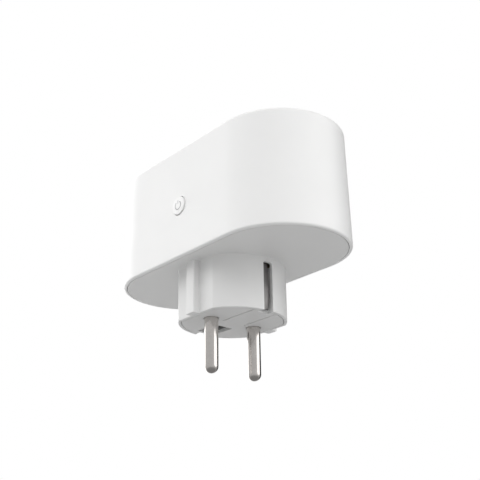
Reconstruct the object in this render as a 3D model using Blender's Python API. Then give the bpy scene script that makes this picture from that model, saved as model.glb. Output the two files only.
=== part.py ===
"""Twin-outlet plug-in power meter: a stadium-shaped housing with an earthed two-pin plug below
and two earthed outlets on top. Each sub-part is one object.

The origin is the centre of the plug's end face. +Z points from the plug to the outlets, X runs
along the housing's length, and the plug's pins stand side by side along Y.
All sizes below are in millimetres; the mesh helpers turn them into metres.
"""

import math

import bmesh
import bpy

MM = 0.001

# Plug and outlet standard
PIN_RADIUS = 2.4
PIN_LENGTH = 19.0
PIN_PITCH = 19.0
PIN_Y = PIN_PITCH / 2
PLUG_RADIUS = 18.9
PLUG_HEIGHT = 18.9
PLUG_FLAT = 16.4
PLUG_RIB_WIDTH = 4.4
PLUG_RIB_REACH = 18.8
RECESS_RADIUS = 19.8
RECESS_DEPTH = 17.5
RECESS_RIB_FACE = 17.0
RECESS_RIB_INNER = 2.9
RECESS_RIB_OUTER = 5.5
PIN_HOLE_RADIUS = 2.8

# Housing
HALF_STRAIGHT = 25.6
END_RADIUS = 24.0
TOP_END_RADIUS = 23.3
BODY_HEIGHT = 42.1
WALL = 1.8
RIM_WALL = 1.2
TOP_ROUND = 1.2
BOTTOM_ROUND = 0.8
COVER_THICKNESS = 2.0
CUP_WALL = 1.2
CUP_FLOOR = 2.0
GAP = 0.3

# Levels
BODY_BOTTOM = PLUG_HEIGHT
BODY_TOP = BODY_BOTTOM + BODY_HEIGHT
COVER_TOP = BODY_BOTTOM + COVER_THICKNESS
CUP_TOP = BODY_TOP - 0.1
CUP_FLOOR_TOP = BODY_TOP - RECESS_DEPTH
CUP_BOTTOM = CUP_FLOOR_TOP - CUP_FLOOR
BOARD_BOTTOM = COVER_TOP + 1.3
BOARD_TOP = BOARD_BOTTOM + 1.6
ON_BOARD = BOARD_TOP + GAP
BAR_BOTTOM = COVER_TOP + 0.4
BAR_TOP = BAR_BOTTOM + 0.6
SHUTTER_TOP = CUP_BOTTOM - GAP
SHUTTER_BOTTOM = SHUTTER_TOP - 1.0
GUIDE_TOP = SHUTTER_BOTTOM - 0.6
GUIDE_BOTTOM = GUIDE_TOP - 1.0

# Plug core
TUBE_WALL = 1.1
CORE_TOP = 16.2
CORE_FLOOR = 7.0
EARTH_SLOT_HALF_WIDTH = 2.0
EARTH_SLOT_TOP = 17.3
EARTH_STRIP_HALF_WIDTH = 1.7
STRIP_THICKNESS = 0.6
EARTH_BRIDGE = 18.1
EARTH_HOLE_X = -9.8
EARTH_HOLE_LENGTH = 9.4
EARTH_HOLE_WIDTH = 8.0
EARTH_BORE_RADIUS = 3.2
TAIL_RADIUS = 1.3
TAIL_TOP = BOARD_TOP + 0.1

# Button in the -Y wall, midway between the outlets
BUTTON_Z = BODY_BOTTOM + 19.2
BUTTON_RADIUS = 3.3
BUTTON_FLANGE_RADIUS = 4.4
BUTTON_PROUD = 0.55
BUTTON_TRAVEL = 0.6
PLUNGER_RADIUS = 1.6

# Electronics
SCREW_X = 36.0
SCREW_Y = 13.0
BOARD_RADIUS = 21.2
CLIP_HALF_WIDTH = 2.0
CLIP_REACH = 20.2
SHUTTER_HALF_WIDTH = 3.6

ARC_STEPS = 24
CUP_STEPS = 52
ROUND_STEPS = 28
SMALL_STEPS = 16
SHARP_ANGLE = math.radians(35)

# name: (base colour, roughness, metallic)
FINISHES = {
    "white_plastic": ((0.86, 0.86, 0.85, 1), 0.38, 0.0),
    "grey_white_plastic": ((0.74, 0.74, 0.73, 1), 0.45, 0.0),
    "black_plastic": ((0.03, 0.03, 0.03, 1), 0.5, 0.0),
    "nickel": ((0.66, 0.64, 0.6, 1), 0.22, 1.0),
    "steel": ((0.5, 0.5, 0.5, 1), 0.32, 1.0),
    "brass": ((0.72, 0.53, 0.24, 1), 0.3, 1.0),
    "board_green": ((0.03, 0.2, 0.08, 1), 0.45, 0.0),
    "relay_blue": ((0.05, 0.16, 0.4, 1), 0.4, 0.0),
    "ferrite": ((0.09, 0.09, 0.1, 1), 0.6, 0.0),
    "winding_tape": ((0.75, 0.6, 0.12, 1), 0.5, 0.0),
    "sleeve_black": ((0.05, 0.05, 0.07, 1), 0.35, 0.0),
    "capacitor_yellow": ((0.7, 0.56, 0.14, 1), 0.45, 0.0),
    "varistor_blue": ((0.06, 0.2, 0.45, 1), 0.5, 0.0),
    "ceramic": ((0.75, 0.72, 0.64, 1), 0.6, 0.0),
    "clear_lens": ((0.9, 0.9, 0.86, 1), 0.2, 0.0),
}


def clear_scene():
    for obj in list(bpy.data.objects):
        bpy.data.objects.remove(obj, do_unlink=True)


def finish(obj, finish_name):
    colour, roughness, metallic = FINISHES[finish_name]
    surface = bpy.data.materials.new(obj.name + "_" + finish_name)
    surface.use_nodes = True
    shader = surface.node_tree.nodes["Principled BSDF"]
    shader.inputs["Base Color"].default_value = colour
    shader.inputs["Roughness"].default_value = roughness
    shader.inputs["Metallic"].default_value = metallic
    obj.data.materials.append(surface)


def add_axis(name, x, y, z):
    """An empty that carries the pieces of one body; a moving body's empty is on its joint's axis."""
    empty = bpy.data.objects.new(name, None)
    empty.location = (x * MM, y * MM, z * MM)
    bpy.context.scene.collection.objects.link(empty)
    return empty


def add_object(name, points, faces, finish_name=None, axis=None):
    """One object from points in millimetres; without a finish it is a cutting or joining tool."""
    start = axis.location.copy() if axis else (0.0, 0.0, 0.0)
    mesh = bpy.data.meshes.new(name)
    placed = [[point[i] * MM - start[i] for i in range(3)] for point in points]
    mesh.from_pydata(placed, [], faces)
    work = bmesh.new()
    work.from_mesh(mesh)
    bmesh.ops.recalc_face_normals(work, faces=work.faces)
    work.to_mesh(mesh)
    work.free()
    mesh.shade_smooth()
    mesh.set_sharp_from_angle(angle=SHARP_ANGLE)
    obj = bpy.data.objects.new(name, mesh)
    bpy.context.scene.collection.objects.link(obj)
    if finish_name:
        finish(obj, finish_name)
        obj.parent = axis or bpy.data.objects["housing"]
    else:
        obj.hide_render = True
        obj.display_type = "WIRE"
    return obj


def skin(rings, capped=True):
    """Points and faces through closed rings that all have the same number of points."""
    count = len(rings[0])
    points = [point for ring in rings for point in ring]
    spans = len(rings) - 1 if capped else len(rings)
    faces = []
    for level in range(spans):
        low = level * count
        high = (level + 1) % len(rings) * count
        for i in range(count):
            j = (i + 1) % count
            faces.append((low + i, low + j, high + j, high + i))
    if capped:
        faces.append(tuple(range(count))[::-1])
        last = (len(rings) - 1) * count
        faces.append(tuple(range(last, last + count)))
    return points, faces


def loft(name, levels, finish_name=None, axis=None):
    """A solid through flat outlines, each given as (outline, z)."""
    rings = [[(x, y, z) for x, y in outline] for outline, z in levels]
    return add_object(name, *skin(rings), finish_name, axis)


def prism(name, outline, low, high, finish_name=None, axis=None):
    return loft(name, [(outline, low), (outline, high)], finish_name, axis)


def cross_prism(name, outline, half_width, finish_name=None):
    """An outline in X and Z, extruded along Y to both sides of the centre plane."""
    rings = [[(x, y, z) for x, z in outline] for y in (-half_width, half_width)]
    return add_object(name, *skin(rings), finish_name)


def box(name, x, y, z, finish_name=None, bevel=0.0):
    """A block between pairs of X, Y and Z values, with its edges broken by a bevel."""
    outline = [(x[0], y[0]), (x[1], y[0]), (x[1], y[1]), (x[0], y[1])]
    obj = prism(name, outline, z[0], z[1], finish_name)
    if bevel:
        edges = obj.modifiers.new("broken_edges", "BEVEL")
        edges.width = bevel * MM
        edges.segments = 1
    return obj


def turned(
    name, profile, centre, finish_name=None, steps=SMALL_STEPS, hollow=False, along_y=False, axis=None
):
    """A profile of (radius, height) turned about a line through centre, along Z or along Y.

    A solid's profile runs from end to end and gets flat caps; a hollow one's is a closed loop."""
    rings = []
    for radius, height in profile:
        ring = []
        for step in range(steps):
            angle = 2 * math.pi * step / steps
            across = radius * math.cos(angle)
            other = radius * math.sin(angle)
            if along_y:
                ring.append((centre[0] + across, height, centre[1] + other))
            else:
                ring.append((centre[0] + across, centre[1] + other, height))
        rings.append(ring)
    return add_object(name, *skin(rings, capped=not hollow), finish_name, axis)


def cylinder(name, radius, centre, low, high, finish_name=None, steps=SMALL_STEPS, along_y=False):
    return turned(name, [(radius, low), (radius, high)], centre, finish_name, steps, along_y=along_y)


def combine(obj, tool, operation):
    change = obj.modifiers.new(tool.name, "BOOLEAN")
    change.operation = operation
    change.solver = "EXACT"
    change.object = tool


def cut(obj, *tools):
    for tool in tools:
        combine(obj, tool, "DIFFERENCE")


def weld(obj, *tools):
    for tool in tools:
        combine(obj, tool, "UNION")


def arc(centre_x, centre_y, radius, start, end, steps):
    """Points on an arc, with its angles in radians, from start to end."""
    angles = [start + (end - start) * step / steps for step in range(steps + 1)]
    return [(centre_x + radius * math.cos(a), centre_y + radius * math.sin(a)) for a in angles]


def stadium(radius, half_straight=HALF_STRAIGHT):
    quarter = math.pi / 2
    right = arc(half_straight, 0, radius, -quarter, quarter, ARC_STEPS)
    left = arc(-half_straight, 0, radius, quarter, 3 * quarter, ARC_STEPS)
    return right + left


def plug_outline(radius, flat, rib_half_width=0.0, rib_reach=0.0):
    """A circle cut by two flats across Y; each flat may carry a rib in its middle."""
    corner = math.asin(flat / radius)
    right = arc(0, 0, radius, -corner, corner, ARC_STEPS // 2)
    left = [(-x, -y) for x, y in right]
    rib = []
    if rib_half_width:
        rib = [(rib_half_width, flat), (rib_half_width, rib_reach)]
        rib += [(-x, y) for x, y in reversed(rib)]
    return right + rib + left + [(-x, -y) for x, y in rib]


def recess_outline():
    """The outlet's round recess with a pair of guide ribs at each end of Y."""
    outer = math.acos(RECESS_RIB_OUTER / RECESS_RADIUS)
    inner = math.acos(RECESS_RIB_INNER / RECESS_RADIUS)
    right = arc(0, 0, RECESS_RADIUS, -outer, outer, ARC_STEPS)
    near_rib = [(RECESS_RIB_OUTER, RECESS_RIB_FACE), (RECESS_RIB_INNER, RECESS_RIB_FACE)]
    between = arc(0, 0, RECESS_RADIUS, inner, math.pi - inner, 4)
    far_rib = [(-x, y) for x, y in reversed(near_rib)]
    half = right + near_rib + between + far_rib
    return half + [(-x, -y) for x, y in half]


def ribbon(path, thickness):
    """The outline of a strip of even thickness along a flat path of points."""
    sides = ([], [])
    for index, (x, y) in enumerate(path):
        before = path[max(index - 1, 0)]
        after = path[min(index + 1, len(path) - 1)]
        length = math.dist(before, after)
        normal = (-(after[1] - before[1]) / length, (after[0] - before[0]) / length)
        for side, sign in zip(sides, (0.5, -0.5)):
            side.append((x + sign * thickness * normal[0], y + sign * thickness * normal[1]))
    return sides[0] + sides[1][::-1]


def shifted(outline, dx):
    return [(x + dx, y) for x, y in outline]


def rounded_levels(radius_at, round_radius, start, end, edge, sign, steps=3):
    """(outline, z) levels of a rounded edge that ends at height edge, inside a stadium of radius_at(z)."""
    levels = []
    for step in range(steps + 1):
        angle = math.radians(start + (end - start) * step / steps)
        z = edge + sign * round_radius * (1 - math.sin(angle))
        levels.append((stadium(radius_at(z) - round_radius * (1 - math.cos(angle))), z))
    return levels


def end_radius(z):
    """The housing's end radius at a height: its wall leans in towards the top."""
    return END_RADIUS - (END_RADIUS - TOP_END_RADIUS) * (z - BODY_BOTTOM) / BODY_HEIGHT


def outer_shell():
    """The housing's wall and top, open below, with two outlet openings and the button's hole."""
    ledge = COVER_TOP + GAP
    ceiling = BODY_TOP - WALL
    levels = rounded_levels(end_radius, TOP_ROUND, 90, 0, BODY_TOP, -1)
    levels += rounded_levels(end_radius, BOTTOM_ROUND, 0, 90, BODY_BOTTOM, 1)
    levels.append((stadium(END_RADIUS - RIM_WALL), BODY_BOTTOM))
    levels.append((stadium(END_RADIUS - RIM_WALL), ledge))
    levels.append((stadium(END_RADIUS - WALL), ledge))
    levels.append((stadium(TOP_END_RADIUS - WALL), ceiling))
    shell = loft("outer_shell", levels, "white_plastic")
    for side in (-1, 1):
        opening = cylinder(
            f"outlet_opening_{side}",
            RECESS_RADIUS + CUP_WALL + GAP,
            (side * HALF_STRAIGHT, 0),
            ceiling - 0.5,
            BODY_TOP + 2,
            steps=CUP_STEPS,
        )
        cut(shell, opening)
    button_hole = cylinder(
        "button_hole",
        BUTTON_RADIUS + GAP,
        (0, BUTTON_Z),
        -END_RADIUS - 2,
        -END_RADIUS + 2 * WALL + 1,
        steps=ROUND_STEPS,
        along_y=True,
    )
    cut(shell, button_hole)


def back_cover():
    """The plate that closes the housing from below, in one piece with the plug's outer tube."""
    radius = END_RADIUS - RIM_WALL - GAP
    plate = [(stadium(radius - 0.3), BODY_BOTTOM), (stadium(radius), BODY_BOTTOM + 0.3)]
    plate.append((stadium(radius), COVER_TOP))
    cover = loft("back_cover", plate, "white_plastic")
    rib = PLUG_RIB_WIDTH / 2
    small = plug_outline(PLUG_RADIUS - 0.4, PLUG_FLAT - 0.4, rib - 0.4, PLUG_RIB_REACH - 0.4)
    full = plug_outline(PLUG_RADIUS, PLUG_FLAT, rib, PLUG_RIB_REACH)
    tube = loft("plug_tube", [(small, 0), (full, 0.4), (full, BODY_BOTTOM + 1)])
    inside = plug_outline(PLUG_RADIUS - TUBE_WALL, PLUG_FLAT - TUBE_WALL)
    hollow = prism("plug_hollow", inside, -1, COVER_TOP + 1)
    weld(cover, tube)
    posts = [(x, y) for x in (-SCREW_X, SCREW_X) for y in (-SCREW_Y, SCREW_Y)]
    for number, place in enumerate(posts):
        weld(cover, cylinder(f"post_{number}", 3.0, place, COVER_TOP - 0.5, BOARD_BOTTOM - GAP))
    for number, place in enumerate(posts):
        cut(cover, cylinder(f"post_bore_{number}", 1.2, place, BODY_BOTTOM + 1, BOARD_TOP, steps=12))
    cut(cover, hollow)
    for side in (-1, 1):
        slot = box(
            f"tube_slot_{side}",
            sorted((side * 15.0, side * 21.0)),
            (-EARTH_SLOT_HALF_WIDTH, EARTH_SLOT_HALF_WIDTH),
            (-1, EARTH_SLOT_TOP),
        )
        cut(cover, slot)


def plug_core():
    """The pin carrier that fills the plug's tube, open above, with holes for the pins and the earth."""
    radius = PLUG_RADIUS - TUBE_WALL - GAP
    flat = PLUG_FLAT - TUBE_WALL - GAP
    edge = plug_outline(radius - 0.2, flat - 0.2)
    levels = [(edge, 0), (plug_outline(radius, flat), 0.2), (plug_outline(radius, flat), CORE_TOP)]
    core = loft("plug_core", levels, "white_plastic")
    cut(core, prism("core_hollow", plug_outline(13.9, 13.2), CORE_FLOOR, CORE_TOP + 1))
    for side in (-1, 1):
        cut(core, cylinder(f"pin_bore_{side}", PIN_RADIUS + GAP, (0, side * PIN_Y), -1, CORE_FLOOR + 1))
        slot = box(
            f"core_slot_{side}",
            sorted((side * 15.6, side * 21.0)),
            (-EARTH_SLOT_HALF_WIDTH - 0.3, EARTH_SLOT_HALF_WIDTH + 0.3),
            (-1, CORE_TOP + 1),
        )
        cut(core, slot)
    earth_hole = box(
        "core_earth_hole",
        (EARTH_HOLE_X - EARTH_HOLE_LENGTH / 2, EARTH_HOLE_X + EARTH_HOLE_LENGTH / 2),
        (-EARTH_HOLE_WIDTH / 2, EARTH_HOLE_WIDTH / 2),
        (-1, CORE_TOP + 1),
    )
    cut(core, earth_hole)


def plug_pin(name, y):
    """A round-ended contact pin with a collar inside the core and a thin tail up to the board."""
    tip = -PIN_LENGTH
    profile = []
    for step in range(7):
        angle = math.pi / 2 * step / 6
        radius = max(PIN_RADIUS * math.sin(angle), 0.15)
        profile.append((radius, tip + PIN_RADIUS * (1 - math.cos(angle))))
    collar = CORE_FLOOR + GAP
    profile += [(PIN_RADIUS, collar), (3.3, collar), (3.3, collar + 1.3), (TAIL_RADIUS, collar + 1.9)]
    profile.append((TAIL_RADIUS, TAIL_TOP))
    turned(name, profile, (0, y), "nickel", steps=20)


def plug_earth():
    """The plug's earth parts: a bowed strip in each side slot, joined by a bridge, and the pin sleeve."""
    start = 16.7
    tip = 1.0
    bow = 1.1
    leg = [(start - 0.5, EARTH_BRIDGE), (start, EARTH_BRIDGE - 0.5)]
    drop = EARTH_BRIDGE - 1.2 - tip
    for step in range(9):
        share = step / 8
        reach = start + bow * math.sin(math.pi * share**1.5)
        leg.append((reach, EARTH_BRIDGE - 1.2 - share * drop))
    path = [(-x, z) for x, z in reversed(leg)] + leg
    cross_prism("plug_earth_yoke", ribbon(path, STRIP_THICKNESS), EARTH_STRIP_HALF_WIDTH, "nickel")

    block = box(
        "earth_pin_block",
        (EARTH_HOLE_X - EARTH_HOLE_LENGTH / 2 + GAP, EARTH_HOLE_X + EARTH_HOLE_LENGTH / 2 - GAP),
        (-EARTH_HOLE_WIDTH / 2 + GAP, EARTH_HOLE_WIDTH / 2 - GAP),
        (1.2, 14.5),
        "black_plastic",
    )
    cut(block, cylinder("earth_bore", EARTH_BORE_RADIUS, (EARTH_HOLE_X, 0), 0, 13))
    cut(block, cylinder("earth_tail_bore", 1.2, (EARTH_HOLE_X, 0), 12, 16, steps=12))
    outer = EARTH_BORE_RADIUS - GAP
    profile = [(outer, 6), (outer, 12.6), (0.8, 12.6), (0.8, CORE_TOP), (0.1, CORE_TOP), (0.1, 12)]
    profile += [(2.3, 12), (2.3, 6)]
    sleeve = turned("earth_pin_sleeve", profile, (EARTH_HOLE_X, 0), "brass", hollow=True)
    slit = box("sleeve_slit", (EARTH_HOLE_X - 5, EARTH_HOLE_X + 5), (-0.35, 0.35), (5, 11))
    cut(sleeve, slit)


def socket_cup(letter, x):
    """An outlet's cup: the round recess with guide ribs, pin holes and slots for the earth clips."""
    radius = RECESS_RADIUS + CUP_WALL
    cup = cylinder(f"socket_cup_{letter}", radius, (x, 0), CUP_BOTTOM, CUP_TOP, "white_plastic", CUP_STEPS)
    cut(cup, prism(f"recess_{letter}", shifted(recess_outline(), x), CUP_FLOOR_TOP, CUP_TOP + 1))
    for side in (-1, 1):
        place = (x, side * PIN_Y)
        name = f"cup_hole_{letter}_{side}"
        cut(cup, cylinder(name, PIN_HOLE_RADIUS, place, CUP_BOTTOM - 1, CUP_FLOOR_TOP + 1))
        slot = box(
            f"clip_slot_{letter}_{side}",
            sorted((x + side * 17.9, x + side * 22.0)),
            (-CLIP_HALF_WIDTH - 0.5, CLIP_HALF_WIDTH + 0.5),
            (CUP_BOTTOM - 1, CUP_FLOOR_TOP + 13.6),
        )
        cut(cup, slot)
    places = [("pivot", 0.0, 2.0), ("left_stop", -12.0, 1.5), ("right_stop", 12.0, 1.5)]
    for part, dx, post_radius in places:
        weld(cup, cylinder(f"{part}_{letter}", post_radius, (x + dx, 0), GUIDE_TOP + GAP, CUP_BOTTOM + 0.5))


def socket_shutter(letter, x, axis):
    """The child guard under an outlet's floor: a bar that covers both pin holes and turns aside."""
    bar = [(y, dx) for dx, y in stadium(SHUTTER_HALF_WIDTH, PIN_Y)][::-1]
    shutter = prism(
        f"shutter_{letter}", shifted(bar, x), SHUTTER_BOTTOM, SHUTTER_TOP, "grey_white_plastic", axis
    )
    cut(shutter, cylinder(f"shutter_bore_{letter}", 2.3, (x, 0), SHUTTER_BOTTOM - 1, SHUTTER_TOP + 0.2))


def shutter_guide(letter, x):
    """The disc that holds the shutter up against the cup's floor."""
    name = f"shutter_guide_{letter}"
    guide = cylinder(name, 14.5, (x, 0), GUIDE_BOTTOM, GUIDE_TOP, "grey_white_plastic", ROUND_STEPS)
    for side in (-1, 1):
        hole = f"guide_hole_{letter}_{side}"
        cut(guide, cylinder(hole, PIN_HOLE_RADIUS, (x, side * PIN_Y), GUIDE_BOTTOM - 1, GUIDE_TOP + 1))


def socket_earth_clip(letter, x):
    """A spring strip under the cup whose two ends rise through its slots and bow into the recess."""
    low = GUIDE_BOTTOM - 0.9
    bend = CUP_FLOOR_TOP + 0.5
    leg = [(CLIP_REACH - 0.6, low), (CLIP_REACH, low + 0.8), (CLIP_REACH, bend)]
    for step in range(1, 8):
        share = step / 7
        leg.append((CLIP_REACH - 1.9 * math.sin(math.pi * 0.9 * share), bend + 12 * share))
    path = [(x - dx, z) for dx, z in reversed(leg)] + [(x + dx, z) for dx, z in leg]
    cross_prism(f"socket_earth_clip_{letter}", ribbon(path, STRIP_THICKNESS), CLIP_HALF_WIDTH, "nickel")


def pin_contact(name, x, y):
    """A slit brass tube that grips one pin of the inserted plug."""
    outer = 3.3
    top = GUIDE_BOTTOM - 0.6
    flange = ON_BOARD + 0.8
    profile = [(2.5, ON_BOARD), (4.2, ON_BOARD), (4.2, flange), (outer, flange), (outer, top), (2.5, top)]
    contact = turned(name, profile, (x, y), "brass", hollow=True)
    cut(contact, box(f"{name}_slit", (x - 5, x + 5), (y - 0.35, y + 0.35), (ON_BOARD + 3, top + 1)))


def power_bars():
    """The flat strips under the board that join the contacts, and the earth strip between the outlets."""
    neutral = box("neutral_bar", (-29, 29), (PIN_Y - 2.4, PIN_Y + 2.4), (BAR_BOTTOM, BAR_TOP), "brass")
    cut(neutral, cylinder("neutral_bore", TAIL_RADIUS + GAP, (0, PIN_Y), BAR_BOTTOM - 1, BAR_TOP + 1))
    half = [(10, -14.8), (14, -PIN_Y), (29, -PIN_Y)]
    path = [(-x, y) for x, y in reversed(half)] + half
    prism("load_bar", ribbon(path, 3.6), BAR_BOTTOM, BAR_TOP, "brass")

    top = GUIDE_BOTTOM - 0.9 - STRIP_THICKNESS / 2 - GAP
    low = top - STRIP_THICKNESS
    foot = EARTH_BRIDGE + STRIP_THICKNESS / 2 + GAP
    half_leg = STRIP_THICKNESS / 2
    outline = [(-10, top), (-10, low), (-half_leg, low), (-half_leg, foot)]
    outline += [(-x, z) for x, z in reversed(outline)]
    cross_prism("earth_bar", outline, EARTH_STRIP_HALF_WIDTH, "brass")


def main_board():
    """The circuit board on four posts, pierced for the plug's tails and the earth strip."""
    board = prism("main_board", stadium(BOARD_RADIUS), BOARD_BOTTOM, BOARD_TOP, "board_green")
    for side in (-1, 1):
        place = (0, side * PIN_Y)
        cut(board, cylinder(f"tail_bore_{side}", TAIL_RADIUS + GAP, place, BOARD_BOTTOM - 1, BOARD_TOP + 1))
    cut(board, box("earth_bar_slot", (-0.7, 0.7), (-2.1, 2.1), (BOARD_BOTTOM - 1, BOARD_TOP + 1)))
    number = 0
    for x in (-SCREW_X, SCREW_X):
        for y in (-SCREW_Y, SCREW_Y):
            number += 1
            cut(board, cylinder(f"screw_hole_{number}", 1.6, (x, y), BOARD_BOTTOM - 1, BOARD_TOP + 1))
            board_screw(f"board_screw_{number}", x, y)


def board_screw(name, x, y):
    tip = BODY_BOTTOM + 1 + GAP
    profile = [(0.3, tip), (0.8, tip + 0.8), (0.8, ON_BOARD), (2.6, ON_BOARD), (2.6, ON_BOARD + 0.9)]
    profile += [(2.0, ON_BOARD + 1.6), (0.2, ON_BOARD + 1.7)]
    turned(name, profile, (x, y), "steel", steps=12)


def power_parts():
    """The relay, the low-voltage supply and the mains protection on the board."""
    box("relay", (-8, 20), (5.4, 17.9), (ON_BOARD, ON_BOARD + 13.6), "relay_blue", bevel=0.5)

    core = box("transformer_core", (-20.8, -9), (5, 18), (ON_BOARD + 0.6, ON_BOARD + 11.6), "ferrite")
    window = (ON_BOARD + 2.8, ON_BOARD + 9.4)
    cut(core, box("core_window", (-25, -5), (7.4, 15.6), window))
    winding = (window[0] + GAP, window[1] - GAP)
    box("transformer_winding", (-20.8, -9), (7.7, 15.3), winding, "winding_tape", bevel=0.8)

    for name, radius, place, height, look in (
        ("bulk_capacitor", 5.0, (-15.5, -7.8), 13.5, "sleeve_black"),
        ("output_capacitor", 3.15, (-12.5, -17.2), 11.0, "sleeve_black"),
    ):
        top = ON_BOARD + height
        profile = [(radius - 0.4, ON_BOARD), (radius, ON_BOARD + 0.4), (radius, ON_BOARD + 1.6)]
        profile += [(radius - 0.3, ON_BOARD + 2.0), (radius, ON_BOARD + 2.4)]
        profile += [(radius, top - 0.4), (radius - 0.4, top)]
        turned(name, profile, place, look, steps=20)

    height = (ON_BOARD, ON_BOARD + 11)
    box("line_filter_capacitor", (2, 15), (-9, -3.2), height, "capacitor_yellow", bevel=0.4)

    disc = arc(-6.0, ON_BOARD + 5.6, 4.5, 0, 2 * math.pi * 23 / 24, 23)
    rings = [[(x, y, z) for y, z in disc] for x in (-7.2, -3.6)]
    add_object("surge_varistor", *skin(rings), "varistor_blue")

    fuse_ring = arc(-12.0, ON_BOARD + 2.3, 2.1, 0, 2 * math.pi * 15 / 16, 15)
    rings = [[(x, y, z) for y, z in fuse_ring] for x in (4.0, 14.5)]
    add_object("thermal_fuse", *skin(rings), "ceramic")


def measuring_parts():
    """The current shunt, the metering chip and the wireless module."""
    path = [(-17, ON_BOARD), (-17, ON_BOARD + 3.2), (-9.5, ON_BOARD + 3.2), (-9.5, ON_BOARD)]
    cross_prism("current_shunt", ribbon(path, 0.8), 1.5, "brass")
    box("metering_chip", (3, 13), (-0.9, 3.1), (ON_BOARD, ON_BOARD + 1.5), "black_plastic", bevel=0.2)
    box("wireless_board", (8.5, 23.5), (-18.8, -18.0), (ON_BOARD, ON_BOARD + 13.6), "board_green")
    box("radio_shield", (10, 20.5), (-17.7, -15.6), (ON_BOARD + 1.5, ON_BOARD + 12), "steel", bevel=0.3)


def button_parts(axis):
    """The pressed button in the wall, and the switch behind it on its own small board."""
    front = -end_radius(BUTTON_Z) - BUTTON_PROUD
    wall_inside = -end_radius(BUTTON_Z) + WALL
    flange = wall_inside + 0.4
    stem = flange + 0.9
    centre = (0, BUTTON_Z)
    profile = [(BUTTON_RADIUS - 0.5, front), (BUTTON_RADIUS - 0.15, front + 0.15)]
    profile += [(BUTTON_RADIUS, front + 0.5), (BUTTON_RADIUS, flange)]
    profile += [(BUTTON_FLANGE_RADIUS, flange), (BUTTON_FLANGE_RADIUS, stem)]
    turned("button_cap", profile, centre, "white_plastic", ROUND_STEPS, along_y=True, axis=axis)

    plunger = stem + GAP
    switch_front = plunger + 1.4
    switch_back = switch_front + 3.2
    plunger_end = switch_front + 1.0
    rod = [(PLUNGER_RADIUS, plunger), (PLUNGER_RADIUS, plunger_end)]
    turned("switch_plunger", rod, centre, "black_plastic", along_y=True, axis=axis)
    square = (BUTTON_Z - 3, BUTTON_Z + 3)
    switch = box("button_switch", (-3, 3), (switch_front, switch_back), square, "black_plastic")
    bore_end = plunger_end + BUTTON_TRAVEL + GAP
    bore_radius = PLUNGER_RADIUS + GAP
    cut(switch, cylinder("switch_bore", bore_radius, centre, switch_front - 1, bore_end, along_y=True))
    board = switch_back + GAP
    box("button_board", (-7, 7), (board, board + 1.2), (ON_BOARD, CUP_BOTTOM - GAP), "board_green")
    height = (BUTTON_Z - 0.8, BUTTON_Z + 0.8)
    box("status_light", (4.2, 5.8), (board - 1.1, board - GAP), height, "clear_lens")


def build():
    clear_scene()
    add_axis("housing", 0, 0, 0)
    button_axis = add_axis("button_axis", 0, -end_radius(BUTTON_Z), BUTTON_Z)
    outer_shell()
    back_cover()
    plug_core()
    plug_pin("plug_pin_line", -PIN_Y)
    plug_pin("plug_pin_neutral", PIN_Y)
    plug_earth()
    for letter, x in (("a", -HALF_STRAIGHT), ("b", HALF_STRAIGHT)):
        shutter_axis = add_axis(f"shutter_axis_{letter}", x, 0, SHUTTER_TOP)
        socket_cup(letter, x)
        socket_shutter(letter, x, shutter_axis)
        shutter_guide(letter, x)
        socket_earth_clip(letter, x)
        pin_contact(f"load_contact_{letter}", x, -PIN_Y)
        pin_contact(f"neutral_contact_{letter}", x, PIN_Y)
    power_bars()
    main_board()
    power_parts()
    measuring_parts()
    button_parts(button_axis)


build()
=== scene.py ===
"""Finished look of the plug-in power meter: its moulded housing, plug, outlets and button.

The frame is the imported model's: origin at the centre of the plug's end face, +Z towards the
outlets, X along the housing. Sizes are in millimetres; the mesh helpers turn them into metres.
"""

import math

import bmesh
import bpy
from mathutils import Matrix, Vector


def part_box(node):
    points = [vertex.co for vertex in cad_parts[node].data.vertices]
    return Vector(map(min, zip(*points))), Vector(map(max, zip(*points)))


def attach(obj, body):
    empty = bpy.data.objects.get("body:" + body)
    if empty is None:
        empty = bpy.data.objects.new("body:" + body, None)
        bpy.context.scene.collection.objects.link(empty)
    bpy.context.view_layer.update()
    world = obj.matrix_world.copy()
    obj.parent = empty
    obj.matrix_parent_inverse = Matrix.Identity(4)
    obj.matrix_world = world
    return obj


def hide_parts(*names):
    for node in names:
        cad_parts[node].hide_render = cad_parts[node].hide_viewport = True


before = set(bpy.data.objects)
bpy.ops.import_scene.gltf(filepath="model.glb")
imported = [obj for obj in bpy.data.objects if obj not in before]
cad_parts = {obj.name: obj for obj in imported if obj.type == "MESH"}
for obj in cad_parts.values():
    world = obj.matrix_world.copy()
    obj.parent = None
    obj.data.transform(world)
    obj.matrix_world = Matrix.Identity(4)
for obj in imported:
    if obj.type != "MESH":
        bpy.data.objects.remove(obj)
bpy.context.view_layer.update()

MM = 0.001


def box_mm(node):
    """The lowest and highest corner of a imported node, in millimetres."""
    low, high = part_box(node)
    return low / MM, high / MM


SHELL_LOW, SHELL_HIGH = box_mm("outer_shell")
PIN_LOW, PIN_HIGH = box_mm("plug_pin_neutral")
BLOCK_LOW, BLOCK_HIGH = box_mm("earth_pin_block")
SLEEVE_LOW, SLEEVE_HIGH = box_mm("earth_pin_sleeve")
CUP_LOW, CUP_HIGH = box_mm("socket_cup_b")
CLIP_LOW, CLIP_HIGH = box_mm("socket_earth_clip_b")
SHUTTER_LOW, SHUTTER_HIGH = box_mm("shutter_b")
BUTTON_LOW, BUTTON_HIGH = box_mm("button_cap")
SCREW_LOW, SCREW_HIGH = box_mm("board_screw_4")
BOARD_BOTTOM = box_mm("main_board")[0].z

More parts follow.
